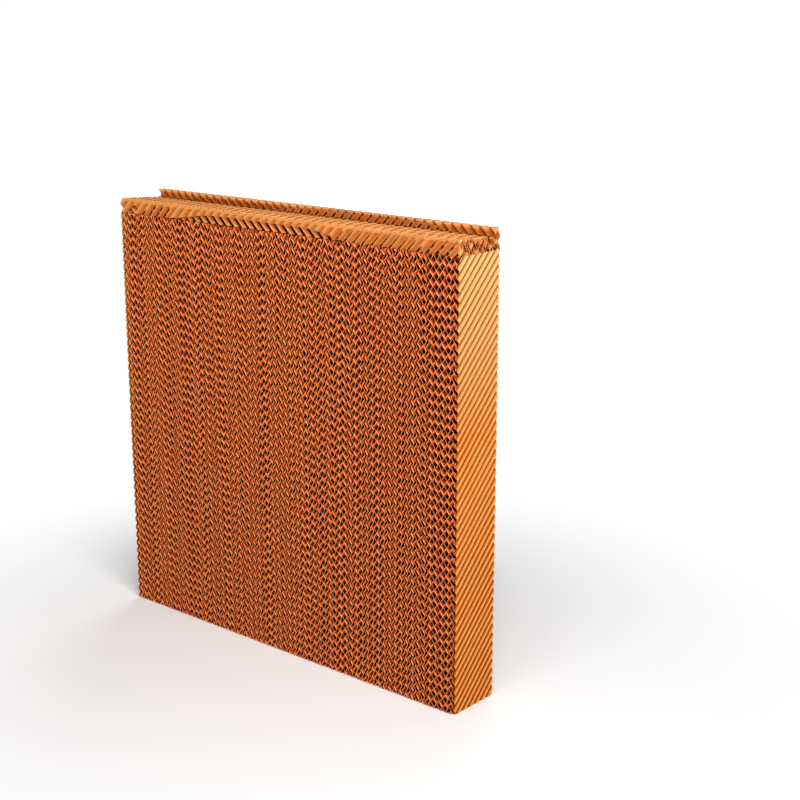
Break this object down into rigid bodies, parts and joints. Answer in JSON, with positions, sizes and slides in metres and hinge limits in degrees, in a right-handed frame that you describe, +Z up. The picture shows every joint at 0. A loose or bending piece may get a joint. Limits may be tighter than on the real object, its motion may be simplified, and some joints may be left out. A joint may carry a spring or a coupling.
{
  "type": "evaporative cooling pad",
  "caption": "Upright block of slanted, cross-fluted paper sheets that cools air drawn through it over wet paper, with a stepped fluted water strip along its top.",
  "frame": {"origin": "middle of the pad's underside, on the floor", "axes": "+X to the right along the stack of sheets, +Y to the back along the air's way, +Z up"},
  "size_m": [0.6, 0.08, 0.6],
  "materials": {
    "block_paper": "matte, resin-stiffened",
    "strip_paper": "matte, resin-stiffened"
  },
  "bodies": {
    "root": {"block_rising": "block_paper", "block_falling": "block_paper", "strip_rising": "strip_paper", "strip_falling": "strip_paper"}
  },
  "joints": []
}
